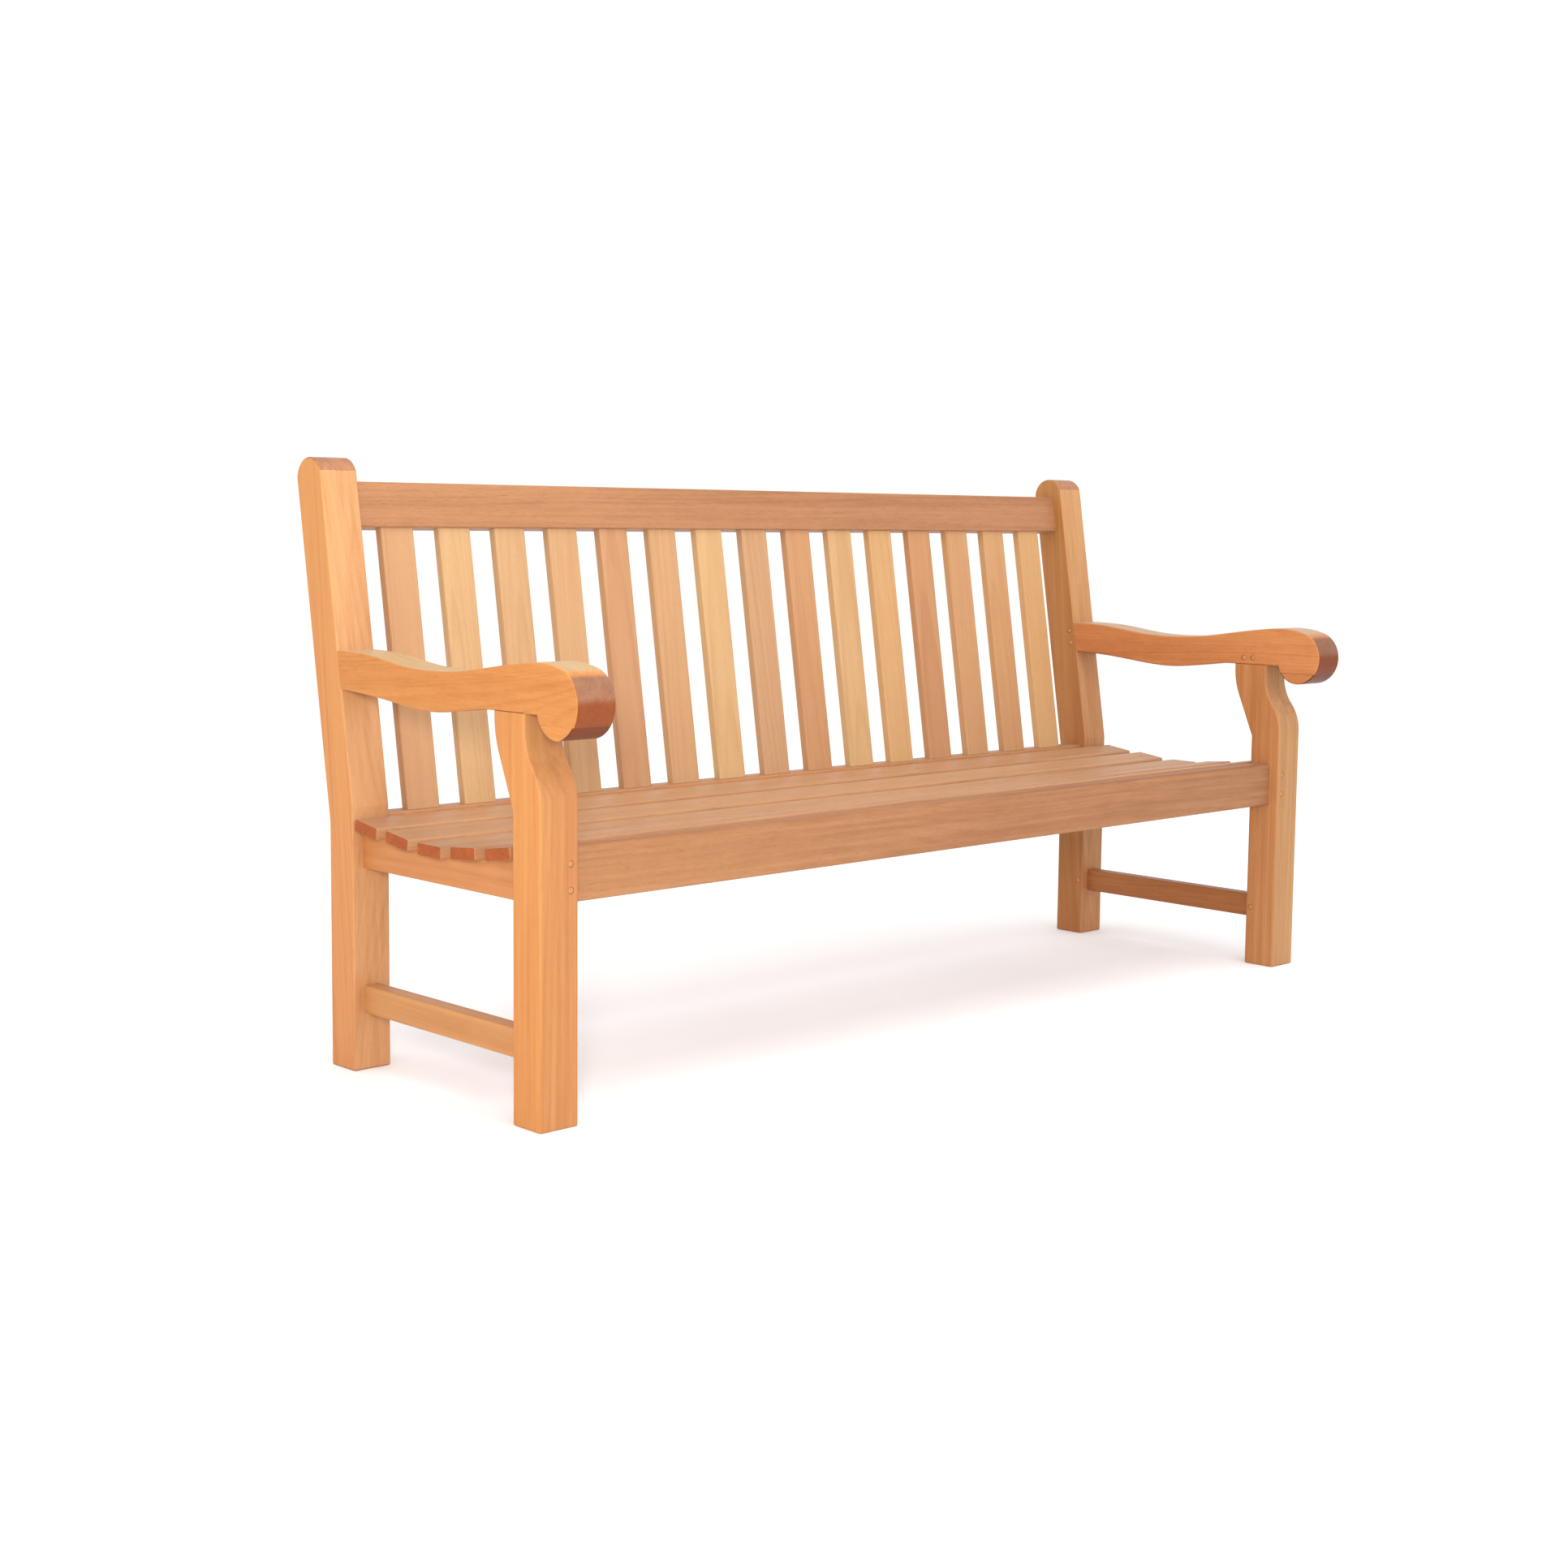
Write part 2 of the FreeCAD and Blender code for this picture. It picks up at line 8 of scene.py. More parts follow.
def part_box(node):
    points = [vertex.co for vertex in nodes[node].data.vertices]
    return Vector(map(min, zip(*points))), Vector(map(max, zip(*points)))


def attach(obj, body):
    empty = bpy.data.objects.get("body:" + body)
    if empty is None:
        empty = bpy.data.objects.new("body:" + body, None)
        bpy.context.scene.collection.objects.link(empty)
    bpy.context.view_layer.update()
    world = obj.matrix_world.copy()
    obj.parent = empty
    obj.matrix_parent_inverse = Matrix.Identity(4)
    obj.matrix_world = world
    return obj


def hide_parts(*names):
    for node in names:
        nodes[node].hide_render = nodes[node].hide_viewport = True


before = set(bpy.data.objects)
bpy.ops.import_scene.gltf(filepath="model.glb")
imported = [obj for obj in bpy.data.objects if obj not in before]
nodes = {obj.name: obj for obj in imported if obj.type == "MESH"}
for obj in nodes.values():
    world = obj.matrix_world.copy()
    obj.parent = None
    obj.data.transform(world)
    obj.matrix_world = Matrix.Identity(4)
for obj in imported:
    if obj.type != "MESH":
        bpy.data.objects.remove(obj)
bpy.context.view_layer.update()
print("frame:", len(nodes), "nodes loaded")


# Small helpers shared by the materials and by the Geometry Nodes trees.
def put(tree, kind, feeds=None, out=0, **settings):
    node = tree.nodes.new(kind)
    for name, value in settings.items():
        setattr(node, name, value)
    for key, value in (feeds or {}).items():
        if isinstance(value, bpy.types.NodeSocket):
            tree.links.new(value, node.inputs[key])
        else:
            node.inputs[key].default_value = value
    return None if out is None else node.outputs[out]


def maths(tree, operation, *values, clamp=False):
    return put(tree, "ShaderNodeMath", dict(enumerate(values)), operation=operation, use_clamp=clamp)


def vectors(tree, operation, *values, out=0):
    return put(tree, "ShaderNodeVectorMath", dict(enumerate(values)), out, operation=operation)


def blend(tree, share, first, second, mode="MIX"):
    feeds = {0: share, 6: first, 7: second}
    return put(tree, "ShaderNodeMix", feeds, 2, data_type="RGBA", blend_type=mode, clamp_factor=True)


def ramp(tree, value, low, high, toLow=0.0, toHigh=1.0):
    feeds = {"Value": value, "From Min": low, "From Max": high, "To Min": toLow, "To Max": toHigh}
    return put(tree, "ShaderNodeMapRange", feeds, interpolation_type="SMOOTHSTEP")


def attribute(tree, name, out="Fac"):
    return put(tree, "ShaderNodeAttribute", out=out, attribute_name=name)


def part(tree, vector, axis):
    return put(tree, "ShaderNodeSeparateXYZ", {0: vector}, "XYZ".index(axis))


def opaque(colour):
    return (*colour, 1.0)


def addSockets(tree, wanted):
    for name, (side, kind, value) in wanted.items():
        socket = tree.interface.new_socket(name=name, in_out=side, socket_type="NodeSocket" + kind)
        if value is not None:
            socket.default_value = value


# How fine each layer of the figure is across and along the board, in cycles a metre, and its detail.
layers = {
    "sway": (3.0, 1.1, 2.0),
    "patches": (7.0, 1.3, 2.0),
    "mottle": (75.0, 17.0, 3.0),
    "streaks": (95.0, 1.6, 3.0),
    "fibres": (620.0, 11.0, 3.0),
    "pores": (1900.0, 60.0, 2.0),
}
figure = {
    "seedStep": (3.17, 7.43, 5.71),  # sets each board in its own part of the noise
    "roughness": 0.55,
    "spacing": {"Scale": 0.31, "Detail": 1.0},
    "spread": 3.0,  # how many rings the spacing strays by
    "rise": (0.35, 0.9),  # the part of a ring over which the late wood darkens
    "fall": (0.9, 1.0),
    "strength": {"Scale": 0.13, "Detail": 2.0},
    "strengthSpan": (0.3, 0.7, 0.25, 1.0),
    "poreSpan": (0.52, 0.74),
    "meanLate": 0.35,
    "meanDepth": 0.42,
    "patches": 0.75,
    "fibres": 0.3,
    "toneShare": 0.5,
    "yellow": (1.03, 1.02, 0.92),
    "pink": (0.98, 0.94, 1.02),
    "pore": (0.22, 0.07, 0.022),
    "seam": (0.12, 0.035, 0.012),
}
endGrain = {"depth": -0.55, "fibres": 0.4, "streaks": 0.5, "mottle": 0.5, "dark": (0.07, 0.02, 0.008)}
surface = {
    "rough": 0.4,
    "roughFibres": 0.12,
    "roughLate": 0.06,
    "fibreRelief": 0.6,
    "poreRelief": -0.6,
    "bump": {"Strength": 0.3, "Distance": 0.0004},
    "coat": {"Specular IOR Level": 0.18, "Sheen Weight": 0.05, "Sheen Roughness": 0.35},
}


# A board's own axes: z along the grain, x and y across it. The rings are cylinders round a heart
# that lies off to one side, so a face shows straight lines, arches or end grain by how it cuts them.
def makeTeakFigure():
    tree = bpy.data.node_groups.new("teak figure", "ShaderNodeTree")
    addSockets(tree, {
        "Place": ("INPUT", "Vector", None),
        "Facing": ("INPUT", "Vector", None),
        "Heart": ("INPUT", "Vector", (0.06, 0.05, 0.0)),
        "Ring": ("INPUT", "Float", 0.004),
        "Taper": ("INPUT", "Float", 0.02),
        "Sway": ("INPUT", "Float", 0.012),
        "Figure": ("INPUT", "Float", 0.3),
        "Mottle": ("INPUT", "Float", 0.2),
        "Streak": ("INPUT", "Float", 0.3),
        "Pores": ("INPUT", "Float", 0.2),
        "Tone": ("INPUT", "Float", 0.0),
        "Drift": ("INPUT", "Vector", (0.0, 0.0, 0.0)),
        "Blush": ("INPUT", "Float", 0.0),
        "Tint And Painted Light": ("INPUT", "Color", (1, 1, 1, 1)),
        "Seed": ("INPUT", "Float", 0.0),
        "Pale": ("INPUT", "Color", (0.7, 0.4, 0.2, 1)),
        "Deep": ("INPUT", "Color", (0.5, 0.2, 0.08, 1)),
        "End": ("INPUT", "Color", (0.3, 0.1, 0.04, 1)),
        "End From": ("INPUT", "Float", 0.45),
        "End To": ("INPUT", "Float", 0.85),
        "End Figure": ("INPUT", "Float", 0.3),
        "Seam": ("INPUT", "Float", 0.0),
        "Colour": ("OUTPUT", "Color", None),
        "Gloss": ("OUTPUT", "Float", None),
        "Relief": ("OUTPUT", "Float", None),
    })
    given = tree.nodes.new("NodeGroupInput").outputs
    seed = vectors(tree, "MULTIPLY", given["Seed"], figure["seedStep"])
    place = vectors(tree, "ADD", given["Place"], seed)

    def noise(layer, out=0):
        across, along, detail = layers[layer]
        squeezed = vectors(tree, "MULTIPLY", place, (across, across, along))
        feeds = {"Vector": squeezed, "Scale": 1.0, "Detail": detail, "Roughness": figure["roughness"]}
        return put(tree, "ShaderNodeTexNoise", feeds, out)

    def ringNoise(rings, feeds):
        return put(tree, "ShaderNodeTexNoise", {"W": rings, **feeds}, noise_dimensions="1D")

    # rings, swaying slowly along the board
    sway = vectors(tree, "SUBTRACT", noise("sway", "Color"), (0.5, 0.5, 0.5))
    swayed = vectors(tree, "MULTIPLY_ADD", sway, given["Sway"], given["Place"])
    fromHeart = vectors(tree, "SUBTRACT", swayed, given["Heart"])
    reach = vectors(tree, "LENGTH", vectors(tree, "MULTIPLY", fromHeart, (1, 1, 0)), out=1)
    reach = maths(tree, "MULTIPLY_ADD", part(tree, given["Place"], "Z"), given["Taper"], reach)
    rings = maths(tree, "DIVIDE", reach, given["Ring"])
    strayed = ringNoise(rings, figure["spacing"])
    rings = maths(tree, "MULTIPLY_ADD", strayed, figure["spread"], rings)
    rising = ramp(tree, maths(tree, "FRACT", rings), *figure["rise"])
    falling = ramp(tree, maths(tree, "FRACT", rings), *figure["fall"], 1.0, 0.0)
    late = maths(tree, "MULTIPLY", rising, falling)
    strength = ramp(tree, ringNoise(rings, figure["strength"]), *figure["strengthSpan"])
    late = maths(tree, "MULTIPLY", late, strength)

    patches, mottle = noise("patches"), noise("mottle")
    streaks, fibres = noise("streaks"), noise("fibres")
    pores = ramp(tree, noise("pores"), *figure["poreSpan"])

    # how far the colour lies from the pale one towards the deep one
    lateness = maths(tree, "SUBTRACT", late, figure["meanLate"])
    depth = maths(tree, "MULTIPLY_ADD", lateness, given["Figure"], figure["meanDepth"])
    shares = (
        (streaks, given["Streak"]),
        (patches, figure["patches"]),
        (mottle, given["Mottle"]),
        (fibres, figure["fibres"]),
    )
    for layer, share in shares:
        depth = maths(tree, "MULTIPLY_ADD", maths(tree, "SUBTRACT", layer, 0.5), share, depth)
    # the drift tilts the tone across a piece; down the back legs and along the rails it is painted
    # light falling off
    drift = vectors(tree, "DOT_PRODUCT", given["Place"], given["Drift"], out=1)
    tone = maths(tree, "ADD", drift, given["Tone"])
    depth = maths(tree, "MULTIPLY_ADD", tone, figure["toneShare"], depth)
    colour = blend(tree, depth, given["Pale"], given["Deep"])
    blush = maths(tree, "ADD", drift, given["Blush"])
    blush = maths(tree, "MULTIPLY_ADD", blush, 0.5, 0.5, clamp=True)
    tint = blend(tree, blush, opaque(figure["yellow"]), opaque(figure["pink"]))
    colour = blend(tree, 1.0, colour, tint, "MULTIPLY")
    # a multiplied tint: each back slat's own warmth, and for some members painted light and shade by
    # which way a face looks
    colour = blend(tree, 1.0, colour, given["Tint And Painted Light"], "MULTIPLY")
    poreShare = maths(tree, "MULTIPLY", pores, given["Pores"])
    colour = blend(tree, poreShare, colour, opaque(figure["pore"]))

    # end grain drinks more oil and goes darker
    along = maths(tree, "ABSOLUTE", part(tree, given["Facing"], "Z"))
    endShare = ramp(tree, along, given["End From"], given["End To"])
    endTone = maths(tree, "MULTIPLY_ADD", late, given["End Figure"], endGrain["depth"])
    for layer, name in ((fibres, "fibres"), (streaks, "streaks"), (mottle, "mottle")):
        endTone = maths(tree, "MULTIPLY_ADD", layer, endGrain[name], endTone)
    endColour = blend(tree, endTone, given["End"], opaque(endGrain["dark"]))
    colour = blend(tree, endShare, colour, endColour)
    colour = blend(tree, given["Seam"], colour, opaque(figure["seam"]))

    gloss = maths(tree, "MULTIPLY_ADD", fibres, surface["roughFibres"], surface["rough"])
    gloss = maths(tree, "MULTIPLY_ADD", late, surface["roughLate"], gloss)
    relief = maths(tree, "MULTIPLY", fibres, surface["fibreRelief"])
    relief = maths(tree, "MULTIPLY_ADD", pores, surface["poreRelief"], relief)
    put(tree, "NodeGroupOutput", {"Colour": colour, "Gloss": gloss, "Relief": relief}, None)
    return tree


# Each sort of piece, by the names of the figure's inputs.
finishes = {
    "leg": {
        "Pale": (0.53, 0.26, 0.092), "Deep": (0.39, 0.150, 0.043), "End": (0.30, 0.11, 0.035),
        "Ring": 0.0065, "Taper": 0.02, "Sway": 0.03,
        "Figure": 0.22, "Mottle": 0.35, "Streak": 1.3, "Pores": 0.15,
    },
    "arm": {
        "Pale": (0.56, 0.235, 0.066), "Deep": (0.38, 0.120, 0.028), "End": (0.28, 0.124, 0.066),
        "Ring": 0.0045, "Taper": 0.04, "Sway": 0.05,
        "Figure": 0.3, "Mottle": 0.5, "Streak": 0.6, "Pores": 0.4,
    },
    "rail": {
        "Pale": (0.385, 0.185, 0.082), "Deep": (0.255, 0.108, 0.043), "End": (0.20, 0.06, 0.02),
        "Ring": 0.005, "Taper": 0.012, "Sway": 0.03,
        "Figure": 0.25, "Mottle": 0.6, "Streak": 1.3, "Pores": 0.6,
    },
    "backSlat": {
        "Pale": (0.50, 0.305, 0.150), "Deep": (0.385, 0.195, 0.090), "End": (0.20, 0.06, 0.02),
        "Ring": 0.0045, "Taper": 0.012, "Sway": 0.012,
        "Figure": 0.3, "Mottle": 0.2, "Streak": 0.5, "Pores": 0.2,
    },
    "seatSlat": {
        "Pale": (0.46, 0.25, 0.118), "Deep": (0.34, 0.150, 0.062), "End": (0.37, 0.076, 0.008),
        "Ring": 0.0045, "Taper": 0.012, "Sway": 0.012,
        "Figure": 0.3, "Mottle": 0.5, "Streak": 1.0, "Pores": 0.4,
    },
    "peg": {
        "Pale": (0.48, 0.22, 0.085), "Deep": (0.38, 0.15, 0.05), "End": (0.50, 0.22, 0.08),
        "Ring": 0.0012, "Taper": 0.0, "Sway": 0.004,
        "Figure": 0.3, "Mottle": 0.1, "Streak": 0.2, "Pores": 0.2,
    },
}
teakFigure = makeTeakFigure()


def startMaterial(name):
    material = bpy.data.materials.new(name)
    material.use_nodes = True
    tree = material.node_tree
    tree.nodes.clear()
    return material, tree


def finishTeak(tree, finish, place, facing, changes):
    feeds = {"Place": place, "Facing": facing}
    for key, value in finishes[finish].items():
        feeds[key] = opaque(value) if isinstance(value, tuple) else value
    feeds.update(changes)
    wood = tree.nodes.new("ShaderNodeGroup")
    wood.node_tree = teakFigure
    for key, value in feeds.items():
        if isinstance(value, bpy.types.NodeSocket):
            tree.links.new(value, wood.inputs[key])
        else:
            wood.inputs[key].default_value = value
    bump = put(tree, "ShaderNodeBump", {"Height": wood.outputs["Relief"], **surface["bump"]})
    shader = put(tree, "ShaderNodeBsdfPrincipled", {
        "Base Color": wood.outputs["Colour"],
        "Roughness": wood.outputs["Gloss"],
        "Normal": bump,
        **surface["coat"],
    })
    put(tree, "ShaderNodeOutputMaterial", {"Surface": shader}, None)


# Which way the grain runs, as the turn that lays a board's z along it.
rake = math.radians(9.0)
turns = {
    "upright": (0.0, 0.0, 0.0),
    "raked": (-rake, 0.0, 0.0),
    "halfRaked": (-rake / 2, 0.0, 0.0),
    "across": (0.0, math.pi / 2, 0.0),
    "fore": (-math.pi / 2, 0.0, 0.0),
}
legEnd = {"End From": 0.75, "End To": 0.95}
headEnd = {"End": opaque((0.40, 0.175, 0.085)), "End From": 0.15, "End To": 0.4, "End Figure": 0.2}
armEnd = {"End From": 0.52, "End To": 0.7, "End Figure": 0.1}
blockEnd = {
    "End": opaque((0.135, 0.027, 0.003)), "End From": 0.08, "End To": 0.3, "End Figure": 0.1,
}
# the arms' scrolls: their end colour low down, the drop below the top over which a painted reflection
# pales the end above it, and the height of the glue line
scrollReflectionAndGlue = {"low": (0.215, 0.0465, 0.0063), "from": 0.040, "to": 0.054, "glue": 0.0009, "glueFade": 0.7}
# each arm's factor on its scroll's end colour; the right one darker, partly as painted shade at the far
# end of the bench
scrollEndFactors = {"left_armrest": (1.0, 1.0, 1.0), "right_armrest": (0.8, 0.75, 0.66)}
glueLines = {"left_arm_scroll_block": 0.2, "right_arm_scroll_block": 0.9}
# painted sheen: the arms' tops made paler, for the pale reflection that they catch
paintedTopSheen = {"Pale": (0.49, 0.325, 0.162), "Deep": (0.385, 0.214, 0.083), "from": 0.84, "to": 0.98}
# painted light and shade: a colour for the faces that look along the bench, and one for those that
# look to front and back, lighter or darker as the light falls on each side of a piece
paintedLightByFacing = {
    "left_front_leg": ((1.05, 0.92, 0.78), (0.82, 0.77, 0.76)),
    "right_front_leg": ((0.93, 0.94, 0.99), (0.86, 1.00, 1.12)),
    "left_back_leg": ((1.05, 0.94, 0.84), (0.98, 1.04, 1.22)),
    "right_back_leg": ((0.80, 0.79, 0.73), (0.95, 1.08, 1.30)),
    "left_armrest": ((1.06, 1.09, 1.04), (0.96, 1.0, 1.04)),
    "left_arm_scroll_block": ((1.06, 1.09, 1.04), (1.0, 1.0, 1.0)),
    "right_armrest": ((1.0, 1.04, 1.30), (1.0, 1.0, 1.0)),
    "right_arm_scroll_block": ((1.0, 1.04, 1.30), (1.0, 1.0, 1.0)),
    "right_stretcher": ((0.74, 0.83, 1.0), (0.80, 0.86, 1.0)),
    "front_seat_rail": ((0.88, 0.76, 0.64), (0.91, 0.89, 0.86)),
    "rear_seat_rail": ((1.0, 1.0, 1.0), (1.3, 1.27, 1.2)),
    "left_side_seat_rail": ((1.02, 0.93, 0.94), (1.0, 1.0, 1.0)),
}
paintedLightSpan = (0.5, 0.85)  # how far a face turns while one colour gives way to the other
# each piece's finish, grain, heart across the board and own values
# the right-hand pieces' higher tones darken them partly as painted shade at the far end of the bench
members = {
    "left_front_leg": (
        "leg", "upright", (0.07, 0.11), {"Tone": 0.15, "Drift": (9, 3, 0), **legEnd}),
    "right_front_leg": (
        "leg", "upright", (-0.06, 0.10), {"Tone": 0.5, "Blush": 0.6, "Drift": (-4, 0, 0), **legEnd}),
    # painted light: the drifts darken the back legs towards the floor and the front and top rails
    # towards the right end
    "left_back_leg": (
        "leg", "halfRaked", (0.09, 0.12), {"Tone": -0.2, "Blush": 0.3, "Drift": (5, 0, -1), **headEnd}),
    "right_back_leg": (
        "leg", "halfRaked", (-0.10, 0.08), {"Tone": 0.6, "Blush": 0.4, "Drift": (0, 0, -1), **headEnd}),
    "left_armrest": (
        "arm", "fore", (0.055, 0.045), {"Tone": 0.0, "Blush": -0.1, **armEnd}),
    "right_armrest": (
        "arm", "fore", (-0.05, 0.06), {"Tone": 0.4, "Blush": 0.2, "Pores": 0.5, **armEnd}),
    "left_arm_scroll_block": (
        "arm", "fore", (0.06, -0.05), {"Tone": 0.1, "Blush": -0.1, **blockEnd}),
    "right_arm_scroll_block": (
        "arm", "fore", (-0.05, 0.06), {"Tone": 0.45, "Blush": 0.2, "Pores": 0.5, **blockEnd}),
    "left_side_seat_rail": ("leg", "fore", (0.09, 0.04), {"Tone": 0.25, "Blush": -0.2}),
    "right_side_seat_rail": ("leg", "fore", (-0.08, 0.05), {"Tone": 0.3}),
    "left_stretcher": ("leg", "fore", (0.08, -0.06), {"Tone": -0.1, "Blush": 0.2}),
    "right_stretcher": ("arm", "fore", (-0.09, 0.05), {"Tone": 1.0, "Blush": 0.3}),
    "front_seat_rail": ("rail", "across", (0.05, 0.12), {"Tone": 0.05, "Drift": (0, 0, 0.5)}),
    "rear_seat_rail": ("rail", "across", (0.07, -0.10), {"Tone": 0.1}),
    "top_back_rail": (
        "rail", "across", (-0.10, 0.14), {"Tone": -0.3, "Blush": 0.3, "Drift": (0, 0, 0.25)}),
    "left_seat_bearer": ("rail", "fore", (0.06, 0.07), {"Tone": 0.0, "Blush": 0.2}),
    "right_seat_bearer": ("rail", "fore", (0.05, -0.08), {"Tone": 0.1, "Blush": -0.2}),
    "seat_slat_1": ("seatSlat", "across", (-0.09, 0.06), {"Tone": 0.0, "Blush": 0.2}),
    "seat_slat_2": ("seatSlat", "across", (-0.08, -0.07), {"Tone": -0.2, "Blush": 0.3}),
    "seat_slat_3": ("seatSlat", "across", (-0.10, 0.03), {"Tone": 0.0, "Blush": 0.0}),
    "seat_slat_4": ("seatSlat", "across", (-0.07, 0.09), {"Tone": 0.05, "Blush": 0.4}),
    "seat_slat_5": ("seatSlat", "across", (-0.11, -0.04), {"Tone": 0.2, "Blush": 0.1}),
}


def wear(node, material):
    # the material goes to the object's own slots, over the one that its mesh came with
    target = nodes[node]
    if not target.material_slots:
        target.data.materials.append(None)
    for slot in target.material_slots:
        slot.link = "OBJECT"
        slot.material = material


# painted light and shade: scales each face's colour by whether it looks along the bench or to front and
# back
def paintLightByFacing(tree, node, normal):
    ahead = ramp(tree, maths(tree, "ABSOLUTE", part(tree, normal, "Y")), *paintedLightSpan)
    return blend(tree, ahead, *(opaque(facingLight) for facingLight in paintedLightByFacing[node]))


def armColours(tree, node, normal, height, top):
    own = finishes["arm"]
    # painted sheen: faces of the arms that look upwards take paler colours
    topSheenShare = ramp(tree, part(tree, normal, "Z"), paintedTopSheen["from"], paintedTopSheen["to"])
    colours = {
        shade: blend(tree, topSheenShare, opaque(own[shade]), opaque(paintedTopSheen[shade]))
        for shade in ("Pale", "Deep")
    }
    # painted reflection: the upper part of the scroll's end takes the paler, bluer colour
    paintedReflectionShare = ramp(tree, height, top - scrollReflectionAndGlue["to"], top - scrollReflectionAndGlue["from"])
    ends = blend(tree, paintedReflectionShare, opaque(scrollReflectionAndGlue["low"]), opaque(own["End"]))
    colours["End"] = blend(tree, 1.0, ends, opaque(scrollEndFactors[node]), "MULTIPLY")
    return colours


def finishMember(number, node, finish, way, heart, changes):
    low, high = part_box(node)
    material, tree = startMaterial("teak_" + node)
    source = put(tree, "ShaderNodeTexCoord", out="Object")
    normal = source.node.outputs["Normal"]
    laid = {"Vector": source, "Location": (low + high) / 2, "Rotation": turns[way]}
    place = put(tree, "ShaderNodeMapping", laid, vector_type="TEXTURE")
    turned = {"Vector": normal, "Rotation": turns[way]}
    facing = put(tree, "ShaderNodeMapping", turned, vector_type="TEXTURE")
    height = part(tree, source, "Z")
    changes = {"Heart": (*heart, 0.0), "Seed": float(number), **changes}
    if node in glueLines:
        glue = scrollReflectionAndGlue["glue"]
        seam = ramp(tree, height, high.z - glue, high.z - glue * scrollReflectionAndGlue["glueFade"])
        changes["Seam"] = maths(tree, "MULTIPLY", seam, glueLines[node])
    # painted light and shade on the faces, by which way each one looks
    if node in paintedLightByFacing:
        changes["Tint And Painted Light"] = paintLightByFacing(tree, node, normal)
    if node in scrollEndFactors:
        changes.update(armColours(tree, node, normal, height, high.z))
    finishTeak(tree, finish, place, facing, changes)
    wear(node, material)


for number, (node, made) in enumerate(members.items()):
    finishMember(number, node, *made)
print("members:", len(members), "finished in teak")


# Helpers for the pieces grown with Geometry Nodes.
def newTree(name, wanted):
    tree = bpy.data.node_groups.new(name, "GeometryNodeTree")
    addSockets(tree, {"Geometry": ("INPUT", "Geometry", None), **wanted})
    tree.interface.new_socket(name="Geometry", in_out="OUTPUT", socket_type="NodeSocketGeometry")
    return tree, tree.nodes.new("NodeGroupInput").outputs


def store(tree, geometry, name, kind, value):
    feeds = {"Geometry": geometry, "Name": name, "Value": value}
    return put(tree, "GeometryNodeStoreNamedAttribute", feeds, data_type=kind, domain="POINT")


def recall(tree, name, kind="FLOAT"):
    return put(tree, "GeometryNodeInputNamedAttribute", {"Name": name}, data_type=kind)


def spotMesh(name, spots):
    # one point for each copy, with the copy's own values stored on it
    mesh = bpy.data.meshes.new(name)
    mesh.from_pydata([spot["at"] for spot in spots], [], [])
    for key in spots[0]:
        if key == "at":
            continue
        vector = isinstance(spots[0][key], (tuple, Vector))
        column = mesh.attributes.new(key, "FLOAT_VECTOR" if vector else "FLOAT", "POINT")
        values = np.array([spot[key] for spot in spots], np.float32).ravel()
        column.data.foreach_set("vector" if vector else "value", values)
    return mesh


def grow(name, spots, tree, values):
    # the tree is evaluated once, and only its plain mesh is kept
    seedling = bpy.data.objects.new(name + "_spots", spotMesh(name + "_spots", spots))
    bpy.context.scene.collection.objects.link(seedling)
    modifier = seedling.modifiers.new("grow", "NODES")
    modifier.node_group = tree
    for item in tree.interface.items_tree:
        if item.in_out == "INPUT" and item.name in values:
            modifier[item.identifier] = values[item.name]
    seedling.update_tag()
    graph = bpy.context.evaluated_depsgraph_get()
    mesh = bpy.data.meshes.new_from_object(seedling.evaluated_get(graph), depsgraph=graph)
    mesh.name = name
    bpy.data.objects.remove(seedling)
    piece = bpy.data.objects.new(name, mesh)
    bpy.context.scene.collection.objects.link(piece)
    return piece


def localBox(node, turn):
    # lowest and highest corners of a node in a frame turned about x
    points = np.array([v.co for v in nodes[node].data.vertices])
    local = points @ np.array(Matrix.Rotation(turn, 3, "X"))
    return local.min(0), local.max(0)


backSlat = {
    "cells": (10, 10, 40),
    "rim": 3,  # rows of cells in the eased edge
    "margin": 1,  # rows of cells in the narrow flat beside it
    "marginWidth": 0.001,
    "ease": 0.0035,
    "wander": 0.00035,  # how far the planed faces stray
    "wanderScale": (14, 14, 5),
    "warm": (1.0, 0.90, 0.80),
    # each slat's own colour, from the left
    "tones": [0.15, -0.35, -0.15, 0.0, 0.35, 0.1, -0.45, 0.15, 0.4, -0.3, -0.35, 0.4, 0.1, 0.2, -0.3],
    "warmths": [0.45, 0.0, 0.0, 0.15, 0.6, 0.3, 0.0, 0.0, 0.9, 0.0, 0.6, 0.9, 0.7, 0.75, 0.65],
    "blushes": [0.3, -0.5, -0.3, -0.1, 0.6, 0.1, -0.8, 0.3, 0.5, -0.7, -0.6, 0.5, 0.1, -0.2, -0.7],
    "hearts": ((-0.05, 0.05), (0.04, 0.12)),  # where its heart may lie, across and deep
    "firstSeed": 40.0,
    "draw": 15,
}


